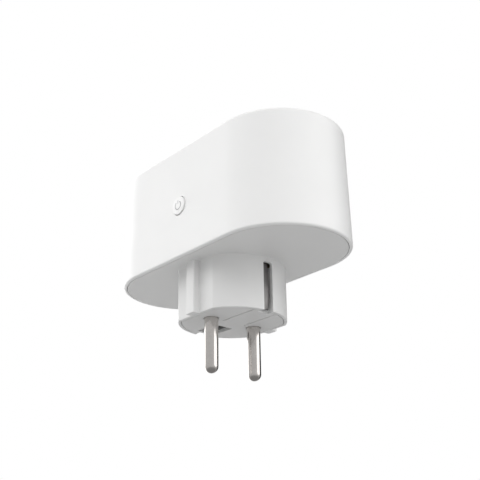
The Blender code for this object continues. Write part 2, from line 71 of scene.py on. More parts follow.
# Housing
END_RADIUS = SHELL_HIGH.y
TOP_END_RADIUS = END_RADIUS - 0.7
HALF_STRAIGHT = SHELL_HIGH.x - END_RADIUS
BODY_BOTTOM = SHELL_LOW.z
BODY_TOP = SHELL_HIGH.z
WALL = 1.8
RIM_WALL = 1.2
TOP_ROUND = 1.2
BOTTOM_ROUND = 0.8
RIM_STEPS = 6
RIM_INNER_ROUND = 0.2
COVER_TOP = BODY_BOTTOM + 2.0
COVER_ROUND = 0.2
SEAM = 0.16
LEDGE = COVER_TOP + 0.3
SCREW_X = (SCREW_LOW.x + SCREW_HIGH.x) / 2
SCREW_Y = (SCREW_LOW.y + SCREW_HIGH.y) / 2
SCREW_BORE = 1.2
POST_RADIUS = 3.0

# Plug
PLUG_RADIUS = 18.9
PLUG_FLAT = 16.4
CORNER_ROUND = 0.5
RIB_HALF = 2.2
RIB_REACH = 18.8
RIB_OUTER_ROUND = 0.45
RIB_INNER_ROUND = 0.4
TUBE_WALL = 1.1
TUBE_END_ROUND = 0.3
TUBE_BASE_ROUND = 0.3
TUBE_MOUTH = 0.12
SLOT_HALF = 1.9
SLOT_TOP = 17.2
SLOT_INNER_X = 15.0
SLOT_MOUTH = 0.2
SLOT_CORNER_ROUND = 0.7
CORE_TOP = box_mm("plug_core")[1].z
CORE_FLOOR = 7.0
CORE_SEAM = 0.2
CORE_RADIUS = PLUG_RADIUS - TUBE_WALL - CORE_SEAM
CORE_FLAT = PLUG_FLAT - TUBE_WALL - CORE_SEAM
CORE_ROUND = 0.12
CORE_HOLLOW_RADIUS = 13.9
CORE_HOLLOW_FLAT = 13.2
CORE_SLOT_HALF = 2.3
CORE_SLOT_INNER_X = 15.6
CORE_SLOT_MOUTH = 0.1
GROOVE_START = 0.5
GROOVE_END = 19.8
GROOVE_Y = 4.7
GROOVE_WIDTH = 0.42
GROOVE_DEPTH = 0.4
PIN_RADIUS = 2.4
PIN_BORE = PIN_RADIUS + 0.1
PIN_BORE_MOUTH = 0.35
PIN_TIP_STEPS = 16
PIN_COLLAR = 3.3
PIN_Y = (PIN_LOW.y + PIN_HIGH.y) / 2
PIN_TIP = PIN_LOW.z
PIN_TOP = PIN_HIGH.z
TAIL_RADIUS = 1.3
STRIP_THICKNESS = 0.6
STRIP_BEND = 0.6
STRIP_BOW = 0.45
STRIP_SINK = 1.3
STRIP_SIDE_GAP = 0.25
STRIP_STEPS = 24
EARTH_X = (BLOCK_LOW.x + BLOCK_HIGH.x) / 2
EARTH_HALF_LENGTH = (BLOCK_HIGH.x - BLOCK_LOW.x) / 2 + 0.3
EARTH_HALF_WIDTH = (BLOCK_HIGH.y - BLOCK_LOW.y) / 2 + 0.3
EARTH_CORNER_ROUND = 0.3
EARTH_MOUTH = 0.15
INSERT_GAP = 0.1
INSERT_BORE = 3.05
INSERT_BORE_TOP = 13.0
SLEEVE_OUTER = 2.85
SLEEVE_INNER = 2.3
SLEEVE_LENGTH = 6.6
SLEEVE_TAIL = 0.8
SLEEVE_EDGE = 0.25

# Outlets
OUTLET_X = (CUP_LOW.x + CUP_HIGH.x) / 2
CUP_RADIUS = (CUP_HIGH.x - CUP_LOW.x) / 2
CUP_TOP = CUP_HIGH.z
RECESS_RADIUS = CUP_RADIUS - 1.2
RECESS_FLOOR = BODY_TOP - 17.5
CUP_BOTTOM = RECESS_FLOOR - 2.0
RECESS_MOUTH = 0.3
RECESS_FLOOR_ROUND = 0.25
CUP_EDGE_ROUND = 0.25
GUIDE_RIB_FACE = 17.0
GUIDE_RIB_INNER = 2.9
GUIDE_RIB_OUTER = 5.5
GUIDE_RIB_ROUND = 0.4
PIN_HOLE = 2.8
PIN_HOLE_MOUTH = 0.5
CLIP_SLOT_X = (17.9, 22.0)
CLIP_SLOT_HALF = 2.5
CLIP_SLOT_HEIGHT = 13.6
CLIP_BEND = 1.2
CLIP_BOW = 1.9
CLIP_RISE = 12
CLIP_THICKNESS = 0.6
GUARD_POSTS = ((0.0, 2.0), (-12.0, 1.5), (12.0, 1.5))
GUARD_ROUND = 0.2
GUARD_PIVOT = 2.3
GUARD_DISH = 2.6

# Button
BUTTON_Z = (BUTTON_LOW.z + BUTTON_HIGH.z) / 2
BUTTON_RADIUS = 3.3
BUTTON_GAP = 0.2
BUTTON_HOLE_MOUTH = 0.06
BUTTON_EDGE = 0.16
BUTTON_DOME = 0.12
BUTTON_STEPS = 10
BUTTON_EDGE_STEPS = 5
BUTTON_FRONT = BUTTON_LOW.y
BUTTON_BACK = BUTTON_HIGH.y
FLANGE_RADIUS = (BUTTON_HIGH.x - BUTTON_LOW.x) / 2
FLANGE_THICKNESS = 0.9
SYMBOL_RADIUS = 1.5
SYMBOL_WIDTH = 0.34
SYMBOL_GAP = math.radians(38)
SYMBOL_FRONT = BUTTON_FRONT + 0.005
SYMBOL_BACK = BUTTON_FRONT + 0.08

# How finely curves are divided, and the bend above which an edge stays sharp
ARC_STEPS = 72
CIRCLE_STEPS = 96
HOLE_STEPS = 48
ROUND_STEPS = 4
SHARP_ANGLE = math.radians(32)


# ---- outlines ----


def arc(centre_x, centre_y, radius, start, end, steps):
    """Points on an arc, with its angles in radians, from start to end."""
    angles = [start + (end - start) * step / steps for step in range(steps + 1)]
    return [(centre_x + radius * math.cos(a), centre_y + radius * math.sin(a)) for a in angles]


def circle(radius, centre=(0.0, 0.0), steps=CIRCLE_STEPS):
    """A circle's points, anticlockwise, with the first not repeated."""
    return arc(centre[0], centre[1], radius, 0, 2 * math.pi * (steps - 1) / steps, steps - 1)


def stadium(radius, half_straight=HALF_STRAIGHT, steps=ARC_STEPS):
    """Two half circles about (half_straight, 0) and its mirror, joined by straight sides."""
    quarter = math.pi / 2
    right = arc(half_straight, 0, radius, -quarter, quarter, steps)
    left = arc(-half_straight, 0, radius, quarter, 3 * quarter, steps)
    return right + left


def filleted(corners, steps=ROUND_STEPS):
    """A closed outline from (x, y, radius) corners; a corner with a radius becomes an arc."""
    outline = []
    for index, (x, y, radius) in enumerate(corners):
        if not radius:
            outline.append((x, y))
            continue
        here = Vector((x, y))
        to_before = (Vector(corners[index - 1][:2]) - here).normalized()
        to_after = (Vector(corners[(index + 1) % len(corners)][:2]) - here).normalized()
        half = to_before.angle(to_after) / 2
        middle = here + (to_before + to_after).normalized() * (radius / math.sin(half))
        start = here + to_before * (radius / math.tan(half)) - middle
        end = here + to_after * (radius / math.tan(half)) - middle
        for step in range(steps + 1):
            spoke = start.lerp(end, step / steps).normalized() * radius
            outline.append((middle.x + spoke.x, middle.y + spoke.y))
    return outline


def grown(outline, distance):
    """An anticlockwise outline moved outwards by a distance, or inwards by a negative one."""
    moved = []
    for index, (x, y) in enumerate(outline):
        before = Vector(outline[index - 1])
        after = Vector(outline[(index + 1) % len(outline)])
        here = Vector((x, y))
        arriving = (here - before).normalized()
        leaving = (after - here).normalized()
        first = Vector((arriving.y, -arriving.x))
        second = Vector((leaving.y, -leaving.x))
        shift = (first + second) * (distance / (1 + first.dot(second)))
        moved.append((x + shift.x, y + shift.y))
    return moved


def arc_corners(radius, start, end, steps, end_round):
    """An arc about the origin as corners for filleted, with its two ends rounded."""
    corners = [(x, y, 0.0) for x, y in arc(0, 0, radius, start, end, steps)]
    for index in (0, -1):
        corners[index] = (*corners[index][:2], end_round)
    return corners


def rectangle(x, y, corner_round):
    """Corners for filleted of a rectangle between pairs of X and Y values."""
    places = ((x[0], y[0]), (x[1], y[0]), (x[1], y[1]), (x[0], y[1]))
    return [(*place, corner_round) for place in places]


def both_halves(half):
    """The rounded outline of corners that repeat half a turn later."""
    return filleted(half + [(-x, -y, r) for x, y, r in half])


def plug_outline(radius, flat, rib_half=0.0, rib_reach=0.0):
    """A circle cut by two flats across Y; each flat may carry a rib in its middle."""
    angle = math.asin(flat / radius)
    rib = []
    if rib_half:
        rib = [(rib_half, flat, RIB_INNER_ROUND), (rib_half, rib_reach, RIB_OUTER_ROUND)]
        rib += [(-x, y, r) for x, y, r in reversed(rib)]
    return both_halves(arc_corners(radius, -angle, angle, ARC_STEPS, CORNER_ROUND) + rib)


def recess_outline():
    """The outlet's round recess with a pair of guide ribs at each end of Y."""
    outer = math.acos(GUIDE_RIB_OUTER / RECESS_RADIUS)
    inner = math.acos(GUIDE_RIB_INNER / RECESS_RADIUS)
    side = arc_corners(RECESS_RADIUS, -outer, outer, ARC_STEPS, CORNER_ROUND)
    rib = [(x, GUIDE_RIB_FACE, GUIDE_RIB_ROUND) for x in (GUIDE_RIB_OUTER, GUIDE_RIB_INNER)]
    between = arc_corners(RECESS_RADIUS, inner, math.pi - inner, 8, GUIDE_RIB_ROUND)
    return both_halves(side + rib + between + [(-x, y, r) for x, y, r in reversed(rib)])


def shifted(outline, dx, dy=0.0):
    """An outline moved along X and Y."""
    return [(x + dx, y + dy) for x, y in outline]


def ribbon(path, thickness):
    """The outline of a strip of even thickness along a flat path of points."""
    sides = ([], [])
    for index, (x, y) in enumerate(path):
        before = path[max(index - 1, 0)]
        after = path[min(index + 1, len(path) - 1)]
        length = math.dist(before, after)
        normal = (-(after[1] - before[1]) / length, (after[0] - before[0]) / length)
        for side, sign in zip(sides, (0.5, -0.5)):
            side.append((x + sign * thickness * normal[0], y + sign * thickness * normal[1]))
    return sides[0] + sides[1][::-1]


# ---- meshes ----


def add_piece(name, points, faces):
    """An object from points in millimetres, with its normals turned outwards."""
    mesh = bpy.data.meshes.new(name)
    mesh.from_pydata([[value * MM for value in point] for point in points], [], faces)
    work = bmesh.new()
    work.from_mesh(mesh)
    bmesh.ops.recalc_face_normals(work, faces=work.faces)
    work.to_mesh(mesh)
    work.free()
    obj = bpy.data.objects.new(name, mesh)
    bpy.context.scene.collection.objects.link(obj)
    return obj


def skin(rings, capped=True):
    """Points and faces through closed rings that all have the same number of points."""
    count = len(rings[0])
    points = [point for ring in rings for point in ring]
    spans = len(rings) - 1 if capped else len(rings)
    faces = []
    for level in range(spans):
        low = level * count
        high = (level + 1) % len(rings) * count
        for i in range(count):
            j = (i + 1) % count
            faces.append((low + i, low + j, high + j, high + i))
    if capped:
        faces.append(tuple(range(count))[::-1])
        last = (len(rings) - 1) * count
        faces.append(tuple(range(last, last + count)))
    return points, faces


def loft(name, levels):
    """A solid through flat outlines, each given as (outline, z)."""
    return add_piece(name, *skin([[(x, y, z) for x, y in outline] for outline, z in levels]))


def turned(name, profile, centre=(0.0, 0.0), steps=CIRCLE_STEPS, hollow=False, along_y=False):
    """A profile of (radius, height) turned about a line through centre, along Z or along Y."""
    rings = []
    for radius, height in profile:
        ring = []
        for across, other in circle(radius, steps=steps):
            if along_y:
                ring.append((centre[0] + across, height, centre[1] + other))
            else:
                ring.append((centre[0] + across, centre[1] + other, height))
        rings.append(ring)
    return add_piece(name, *skin(rings, capped=not hollow))


def cross_prism(name, outline, half_width, edge):
    """An outline in X and Z, extruded along Y, with its long edges broken by a small round."""
    inner = half_width - edge
    levels = [(-half_width, edge), (-inner, 0), (inner, 0), (half_width, edge)]
    clockwise = outline[::-1]
    rings = []
    for y, inset in levels:
        rings.append([(x, y, z) for x, z in grown(clockwise, -inset)])
    return add_piece(name, *skin(rings))


def quarter_round(radius, steps=ROUND_STEPS):
    """A rounded edge as pairs of distances: from the side, and from the end."""
    angles = [math.pi / 2 * step / steps for step in range(steps + 1)]
    return [(radius * (1 - math.sin(a)), radius * (1 - math.cos(a))) for a in angles]


def solid_round(outline, radius, edge, sign, steps=ROUND_STEPS):
    """Levels of an end whose edge is rounded: from the flat end at edge to the full outline."""
    levels = []
    for inset, depth in quarter_round(radius, steps):
        levels.append((grown(outline, -inset), edge + sign * depth))
    return levels


def mouth_round(outline, radius, edge, sign):
    """Levels of a tool that cuts towards sign and leaves a rounded mouth in a face at edge."""
    levels = [(grown(outline, radius), edge - sign)]
    for outset, depth in quarter_round(radius):
        levels.append((grown(outline, outset), edge + sign * depth))
    return levels


def mouth_profile(radius, round_radius, edge, sign):
    """mouth_round as a profile for a turned tool."""
    profile = [(radius + round_radius, edge - sign)]
    for outset, depth in quarter_round(round_radius):
        profile.append((radius + outset, edge + sign * depth))
    return profile


def block(name, x, y, z, edge=0.0):
    """A block between pairs of X, Y and Z values, with all its edges rounded."""
    steps = 3
    outline = filleted(rectangle(x, y, edge), steps)
    if not edge:
        return loft(name, [(outline, z[0]), (outline, z[1])])
    end_round = edge * 0.98  # just under the corners' radius, so no outline shrinks to a point
    low = solid_round(outline, end_round, z[0], 1, steps)
    high = solid_round(outline, end_round, z[1], -1, steps)
    return loft(name, low + high[::-1])


def baked(obj):
    """Replaces an object's mesh by the result of its modifiers."""
    bpy.context.view_layer.update()
    state = bpy.context.evaluated_depsgraph_get()
    mesh = bpy.data.meshes.new_from_object(
        obj.evaluated_get(state), preserve_all_data_layers=True, depsgraph=state
    )
    old = obj.data
    obj.modifiers.clear()
    obj.data = mesh
    bpy.data.meshes.remove(old)
    mesh.name = obj.name


def carve(obj, operation, tools):
    """Cuts tools out of an object or joins them to it, and removes them."""
    for tool in tools:
        change = obj.modifiers.new(tool.name, "BOOLEAN")
        change.operation = operation
        change.solver = "EXACT"
        change.object = tool
    baked(obj)
    for tool in tools:
        bpy.data.objects.remove(tool, do_unlink=True)


def smooth(obj, angle=SHARP_ANGLE):
    """Smooth shading with sharp edges kept, and large faces leading their neighbours' normals."""
    work = bmesh.new()
    work.from_mesh(obj.data)
    large = [face for face in work.faces if len(face.verts) > 4]
    bmesh.ops.triangulate(work, faces=large, ngon_method="BEAUTY")
    bmesh.ops.remove_doubles(work, verts=work.verts, dist=0.004 * MM)
    bmesh.ops.dissolve_degenerate(work, edges=work.edges, dist=0.002 * MM)
    work.to_mesh(obj.data)
    work.free()
    obj.data.shade_smooth()
    obj.data.set_sharp_from_angle(angle=angle)
    weighted = obj.modifiers.new("weighted_normals", "WEIGHTED_NORMAL")
    weighted.keep_sharp = True
    weighted.weight = 60
    baked(obj)


# ---- pieces ----


def wall_radius(z):
    """The housing's end radius at a height: its wall leans in towards the top."""
    lean = END_RADIUS - TOP_END_RADIUS
    return END_RADIUS - lean * (z - BODY_BOTTOM) / (BODY_TOP - BODY_BOTTOM)


def rim_levels(round_radius, edge, sign):
    """Levels of the housing wall's rounded end, from the flat end at edge to the wall."""
    levels = []
    for inset, depth in quarter_round(round_radius, RIM_STEPS):
        z = edge + sign * depth
        levels.append((stadium(wall_radius(z) - inset), z))
    return levels


def shell_piece():
    """The housing's wall and top, open below, with two outlet openings and the button's hole."""
    ceiling = BODY_TOP - WALL
    inner = END_RADIUS - RIM_WALL
    levels = rim_levels(TOP_ROUND, BODY_TOP, -1)
    for share in (0.25, 0.5, 0.75):
        z = BODY_TOP + share * (BODY_BOTTOM - BODY_TOP)
        levels.append((stadium(wall_radius(z)), z))
    levels += rim_levels(BOTTOM_ROUND, BODY_BOTTOM, 1)[::-1]
    for outset, depth in quarter_round(RIM_INNER_ROUND):
        levels.append((stadium(inner + outset), BODY_BOTTOM + depth))
    levels.append((stadium(inner), LEDGE))
    levels.append((stadium(END_RADIUS - WALL), LEDGE))
    levels.append((stadium(TOP_END_RADIUS - WALL), ceiling))
    shell = loft("shell_moulding", levels)
    tools = []
    for side in (-1, 1):
        profile = mouth_profile(CUP_RADIUS + SEAM, RECESS_MOUTH, BODY_TOP, -1)
        profile.append((CUP_RADIUS + SEAM, ceiling - 0.5))
        tools.append(turned(f"outlet_opening_{side}", profile, (side * OUTLET_X, 0)))
    front = -wall_radius(BUTTON_Z)
    hole = BUTTON_RADIUS + BUTTON_GAP
    profile = mouth_profile(hole, BUTTON_HOLE_MOUTH, front, 1)
    profile.append((hole, front + WALL + 1))
    tools.append(turned("button_hole", profile, (0, BUTTON_Z), HOLE_STEPS, along_y=True))
    carve(shell, "DIFFERENCE", tools)
    smooth(shell)
    return shell


def earth_slot_tool(name, side, inner_x, half_width, top, mouth):
    """A cutting block for one earth slot, rounded at its closed end, with its outer mouth eased."""
    corners = [(-half_width, -3.0, 0.0), (half_width, -3.0, 0.0)]
    corners += [(half_width, top, SLOT_CORNER_ROUND), (-half_width, top, SLOT_CORNER_ROUND)]
    outline = filleted(corners, 5)
    edge = PLUG_RADIUS - mouth * 0.6
    wide = 1.2 * mouth
    levels = [(inner_x, 0.0), (edge - mouth, 0.0), (edge, 0.35 * mouth)]
    levels += [(edge + mouth, wide), (edge + 3.0, wide)]
    rings = []
    for x, outset in levels:
        rings.append([(side * x, y, z) for y, z in grown(outline, outset)])
    return add_piece(name, *skin(rings))


def cover_piece():
    """The underside plate in one piece with the plug's outer tube, its flats and ribs."""
    plate = stadium(END_RADIUS - RIM_WALL - SEAM)
    levels = solid_round(plate, COVER_ROUND, BODY_BOTTOM, 1)
    levels.append((plate, COVER_TOP))
    cover = loft("underside_cover", levels)

    outer = plug_outline(PLUG_RADIUS, PLUG_FLAT, RIB_HALF, RIB_REACH)
    levels = solid_round(outer, TUBE_END_ROUND, 0.0, 1)
    levels.append((outer, BODY_BOTTOM * 0.5))
    for depth, outset in quarter_round(TUBE_BASE_ROUND):
        levels.append((grown(outer, outset), BODY_BOTTOM - depth))
    levels.append((grown(outer, TUBE_BASE_ROUND), BODY_BOTTOM + 0.7))
    tube = loft("plug_tube", levels)
    posts = []
    bores = []
    post = [(POST_RADIUS, COVER_TOP - 0.5), (POST_RADIUS, BOARD_BOTTOM - 0.3)]
    bore = [(SCREW_BORE, BODY_BOTTOM + 1), (SCREW_BORE, BOARD_BOTTOM + 1)]
    for x in (-SCREW_X, SCREW_X):
        for y in (-SCREW_Y, SCREW_Y):
            posts.append(turned(f"post_{x}_{y}", post, (x, y), HOLE_STEPS))
            bores.append(turned(f"bore_{x}_{y}", bore, (x, y), HOLE_STEPS))
    carve(cover, "UNION", [tube] + posts)

    inside = plug_outline(PLUG_RADIUS - TUBE_WALL, PLUG_FLAT - TUBE_WALL)
    levels = mouth_round(inside, TUBE_MOUTH, 0.0, 1)
    levels.append((inside, COVER_TOP + 1))
    slots = [
        earth_slot_tool(f"tube_slot_{side}", side, SLOT_INNER_X, SLOT_HALF, SLOT_TOP, SLOT_MOUTH)
        for side in (-1, 1)
    ]
    carve(cover, "DIFFERENCE", [loft("plug_hollow", levels)] + bores + slots)
    smooth(cover)
    return cover


def core_piece():
    """The pin carrier that closes the plug's tube, with its holes and two shallow grooves."""
    outline = plug_outline(CORE_RADIUS, CORE_FLAT)
    levels = solid_round(outline, CORE_ROUND, 0.0, 1)
    levels.append((outline, CORE_TOP))
    core = loft("pin_carrier", levels)
    hollow = plug_outline(CORE_HOLLOW_RADIUS, CORE_HOLLOW_FLAT)
    tools = [loft("core_hollow", [(hollow, CORE_FLOOR), (hollow, CORE_TOP + 1)])]
    slot = (CORE_SLOT_INNER_X, CORE_SLOT_HALF, CORE_TOP + 2, CORE_SLOT_MOUTH)
    groove = ribbon([(GROOVE_START, 0.0), (GROOVE_END, 0.0)], GROOVE_WIDTH)[::-1]
    for side in (-1, 1):
        profile = mouth_profile(PIN_BORE, PIN_BORE_MOUTH, 0.0, 1)
        profile.append((PIN_BORE, CORE_FLOOR + 1))
        tools.append(turned(f"pin_bore_{side}", profile, (0, side * PIN_Y), HOLE_STEPS))
        tools.append(earth_slot_tool(f"core_slot_{side}", side, *slot))
        placed = shifted(groove, 0.0, side * GROOVE_Y)
        tools.append(loft(f"groove_{side}", [(placed, -1.0), (placed, GROOVE_DEPTH)]))
    x = (EARTH_X - EARTH_HALF_LENGTH, EARTH_X + EARTH_HALF_LENGTH)
    y = (-EARTH_HALF_WIDTH, EARTH_HALF_WIDTH)
    opening = filleted(rectangle(x, y, EARTH_CORNER_ROUND))
    levels = mouth_round(opening, EARTH_MOUTH, 0.0, 1)
    levels.append((opening, CORE_TOP + 1))
    tools.append(loft("earth_opening", levels))
    carve(core, "DIFFERENCE", tools)
    smooth(core)
    return core


def pin_piece(name, y):
    """A round-ended contact pin with a collar inside the core and a thin tail up to the board."""
    profile = []
    for step in range(PIN_TIP_STEPS + 1):
        angle = math.pi / 2 * step / PIN_TIP_STEPS
        radius = max(PIN_RADIUS * math.sin(angle), 0.04)
        profile.append((radius, PIN_TIP + PIN_RADIUS * (1 - math.cos(angle))))
    collar = CORE_FLOOR + 0.3
    profile += [(PIN_RADIUS, PIN_TIP + (collar - PIN_TIP) * share) for share in (0.4, 0.7, 1.0)]
    profile += [(PIN_COLLAR - 0.1, collar), (PIN_COLLAR, collar + 0.1), (PIN_COLLAR, collar + 1.3)]
    profile += [(TAIL_RADIUS, collar + 1.9), (TAIL_RADIUS, PIN_TOP)]
    pin = turned(name, profile, (0, y), 64)
    smooth(pin, math.radians(40))
    return pin


def yoke_piece():
    """The plug's bowed earth strip in each side slot, joined by a bridge inside."""
    low, high = box_mm("plug_earth_yoke")
    bridge = high.z - STRIP_THICKNESS / 2
    start = high.x - STRIP_SINK
    turn_x = start - STRIP_BEND
    turn_z = bridge - STRIP_BEND
    leg = [(x, bridge) for x in (0.5, 8.0, turn_x)]
    leg += arc(turn_x, turn_z, STRIP_BEND, math.radians(75), math.radians(15), 5)
    top = turn_z - 0.3
    for step in range(STRIP_STEPS + 1):
        share = step / STRIP_STEPS
        x = start + STRIP_BOW * math.sin(math.pi * share**1.5)
        leg.append((x, top - share * (top - low.z)))
    path = [(-x, z) for x, z in reversed(leg)] + leg
    half_width = (high.y - low.y) / 2 - STRIP_SIDE_GAP
    yoke = cross_prism("earth_strip", ribbon(path, STRIP_THICKNESS), half_width, 0.1)
    smooth(yoke)
    return yoke


def earth_block_piece():
    """The insert in the earth opening, with the round hole for an earth pin."""
    half_length = EARTH_HALF_LENGTH - INSERT_GAP
    half_width = EARTH_HALF_WIDTH - INSERT_GAP
    x = (EARTH_X - half_length, EARTH_X + half_length)
    z = (BLOCK_LOW.z, BLOCK_HIGH.z)
    insert = block("earth_insert", x, (-half_width, half_width), z, 0.2)
    profile = mouth_profile(INSERT_BORE, 0.3, BLOCK_LOW.z, 1)
    profile.append((INSERT_BORE, INSERT_BORE_TOP))
    tail = [(1.2, INSERT_BORE_TOP - 0.5), (1.2, INSERT_BORE_TOP + 3)]
    tools = [turned("earth_bore", profile, (EARTH_X, 0), HOLE_STEPS)]
    tools.append(turned("earth_tail_bore", tail, (EARTH_X, 0), HOLE_STEPS))
    carve(insert, "DIFFERENCE", tools)
    smooth(insert)
    return insert


def sleeve_piece():
    """The slit contact sleeve inside the earth hole."""
    low = SLEEVE_LOW.z
    high = SLEEVE_HIGH.z
    edge = low + SLEEVE_EDGE
    shoulder = low + SLEEVE_LENGTH
    inner_end = shoulder - 0.6
    profile = [(SLEEVE_OUTER - SLEEVE_EDGE, low), (SLEEVE_OUTER, edge), (SLEEVE_OUTER, shoulder)]
    profile += [(SLEEVE_TAIL, shoulder), (SLEEVE_TAIL, high), (0.1, high), (0.1, inner_end)]
    profile += [(SLEEVE_INNER, inner_end), (SLEEVE_INNER, edge), (SLEEVE_OUTER - 0.35, low)]
    sleeve = turned("earth_sleeve", profile, (EARTH_X, 0), HOLE_STEPS, hollow=True)
    slit = block("slit", (EARTH_X - 5, EARTH_X + 5), (-0.3, 0.3), (low - 1, low + 5))
    carve(sleeve, "DIFFERENCE", [slit])
    smooth(sleeve)
    return sleeve


def cup_piece(letter, x):
    """An outlet's cup: the recess with guide ribs, pin holes and slots for the earth clips."""
    outer = circle(CUP_RADIUS, (x, 0))
    levels = [(outer, CUP_BOTTOM)] + solid_round(outer, CUP_EDGE_ROUND, CUP_TOP, -1)[::-1]
    cup = loft(f"outlet_cup_{letter}", levels)
    outline = shifted(recess_outline(), x)
    levels = mouth_round(outline, RECESS_MOUTH, CUP_TOP, -1)
    for height, inset in quarter_round(RECESS_FLOOR_ROUND):
        levels.append((grown(outline, -inset), RECESS_FLOOR + height))
    tools = [loft(f"recess_{letter}", levels)]
    slot_y = (-CLIP_SLOT_HALF, CLIP_SLOT_HALF)
    slot_z = (CUP_BOTTOM - 1, RECESS_FLOOR + CLIP_SLOT_HEIGHT)
    for side in (-1, 1):
        profile = mouth_profile(PIN_HOLE, PIN_HOLE_MOUTH, RECESS_FLOOR, -1)
        profile.append((PIN_HOLE, CUP_BOTTOM - 1))
        tools.append(turned(f"hole_{letter}_{side}", profile, (x, side * PIN_Y), HOLE_STEPS))
        slot_x = sorted(x + side * reach for reach in CLIP_SLOT_X)
        tools.append(block(f"slot_{letter}_{side}", slot_x, slot_y, slot_z, 0.4))
    carve(cup, "DIFFERENCE", tools)
    posts = []
    for number, (dx, radius) in enumerate(GUARD_POSTS):
        profile = [(radius, SHUTTER_LOW.z - 0.3), (radius, CUP_BOTTOM + 0.5)]
        posts.append(turned(f"stop_{letter}_{number}", profile, (x + dx, 0), HOLE_STEPS))
    carve(cup, "UNION", posts)
    smooth(cup)
    return cup


def clip_piece(letter, x):
    """A spring strip under the cup whose ends rise through its slots and bow into the recess."""
    reach = (CLIP_HIGH.x - CLIP_LOW.x) / 2 - 0.3
    low = CLIP_LOW.z + 0.3
    bend = RECESS_FLOOR + 0.5
    leg = [(0.5, low), (reach - 6, low)]
    turn = (reach - CLIP_BEND, low + CLIP_BEND)
    leg += arc(*turn, CLIP_BEND, math.radians(-80), math.radians(-10), 6)
    leg.append((reach, bend))
    for step in range(1, STRIP_STEPS + 1):
        share = step / STRIP_STEPS
        bow = CLIP_BOW * math.sin(math.pi * 0.9 * share)
        leg.append((reach - bow, bend + CLIP_RISE * share))
    path = [(x - dx, z) for dx, z in reversed(leg)] + [(x + dx, z) for dx, z in leg]
    half_width = (CLIP_HIGH.y - CLIP_LOW.y) / 2
    clip = cross_prism(f"earth_clip_{letter}", ribbon(path, CLIP_THICKNESS), half_width, 0.12)
    smooth(clip)
    return clip


def shutter_piece(letter, x):
    """The child guard under an outlet's floor: a bar over both pin holes, dished below each."""
    radius = (SHUTTER_HIGH.x - SHUTTER_LOW.x) / 2
    bar = [(x - y, dx) for dx, y in stadium(radius, PIN_Y, 24)]
    bottom = SHUTTER_LOW.z
    top = SHUTTER_HIGH.z
    low = solid_round(bar, GUARD_ROUND, bottom, 1)
    high = solid_round(bar, GUARD_ROUND, top, -1)
    shutter = loft(f"child_guard_{letter}", low + high[::-1])
    pivot = [(GUARD_PIVOT, bottom - 1), (GUARD_PIVOT, top + 1)]
    dish = [(GUARD_DISH, top + 1), (GUARD_DISH, top - 0.1), (1.2, top - 0.45)]
    tools = [turned(f"pivot_{letter}", pivot, (x, 0), HOLE_STEPS)]
    for side in (-1, 1):
        tools.append(turned(f"dish_{letter}_{side}", dish, (x, side * PIN_Y), HOLE_STEPS))
    carve(shutter, "DIFFERENCE", tools)
    smooth(shutter)
    return shutter


def button_piece():
    """The button: a shallow domed face with a rounded edge, and the flange that keeps it in."""
    flange = BUTTON_BACK - FLANGE_THICKNESS
    profile = [(0.05, BUTTON_FRONT)]
    flat = BUTTON_RADIUS - BUTTON_EDGE
    for step in range(1, BUTTON_STEPS + 1):
        fall = BUTTON_DOME * (step / BUTTON_STEPS) ** 2
        profile.append((flat * step / BUTTON_STEPS, BUTTON_FRONT + fall))
    for step in range(1, BUTTON_EDGE_STEPS + 1):
        angle = math.pi / 2 * step / BUTTON_EDGE_STEPS
        y = BUTTON_FRONT + BUTTON_DOME + BUTTON_EDGE * (1 - math.cos(angle))
        profile.append((flat + BUTTON_EDGE * math.sin(angle), y))
    profile += [(BUTTON_RADIUS, flange), (FLANGE_RADIUS, flange), (FLANGE_RADIUS, BUTTON_BACK)]
    button = turned("push_button", profile, (0, BUTTON_Z), along_y=True)
    smooth(button)
    return button


def printed_line(name, path):
    """A thin printed line in the plane of the button's face, along a path in X and Z."""
    outline = ribbon(path, SYMBOL_WIDTH)
    rings = [[(x, y, z) for x, z in outline] for y in (SYMBOL_FRONT, SYMBOL_BACK)]
    return add_piece(name, *skin(rings))


def symbol_piece():
    """A generic on-off symbol on the button: an open ring and a bar in its gap."""
    start = math.pi / 2 + SYMBOL_GAP
    end = math.pi / 2 + 2 * math.pi - SYMBOL_GAP
    symbol = printed_line("button_symbol", arc(0.0, BUTTON_Z, SYMBOL_RADIUS, start, end, 60))
    bar = [(0.0, BUTTON_Z + 0.35), (0.0, BUTTON_Z + SYMBOL_RADIUS + 0.35)]
    carve(symbol, "UNION", [printed_line("symbol_bar", bar)])
    smooth(symbol)
    return symbol


# ---- materials ----


class Nodes:
    """A node tree with the helpers that materials and the studio's light share."""

    def __init__(self, tree):
        self.nodes = tree.nodes
        self.links = tree.links

    def add(self, kind, **settings):
        node = self.nodes.new(kind)
        for key, value in settings.items():
            setattr(node, key, value)
        return node

    def plug(self, target, value):
        """Links an output to an input, or sets the input's value."""
        if isinstance(value, bpy.types.NodeSocket):
            self.links.new(value, target)
        else:
            target.default_value = value

    def math(self, operation, *values):
        node = self.add("ShaderNodeMath", operation=operation)
        for target, value in zip(node.inputs, values):
            self.plug(target, value)
        return node.outputs[0]

    def ranged(self, value, low, high, to_low=0.0, to_high=1.0, smooth_step=False):
        """A value mapped from one range to another, and held there beyond."""
        node = self.add("ShaderNodeMapRange")
        if smooth_step:
            node.interpolation_type = "SMOOTHSTEP"
        self.plug(node.inputs["Value"], value)
        limits = {"From Min": low, "From Max": high, "To Min": to_low, "To Max": to_high}
        for key, number in limits.items():
            node.inputs[key].default_value = number
        return node.outputs["Result"]


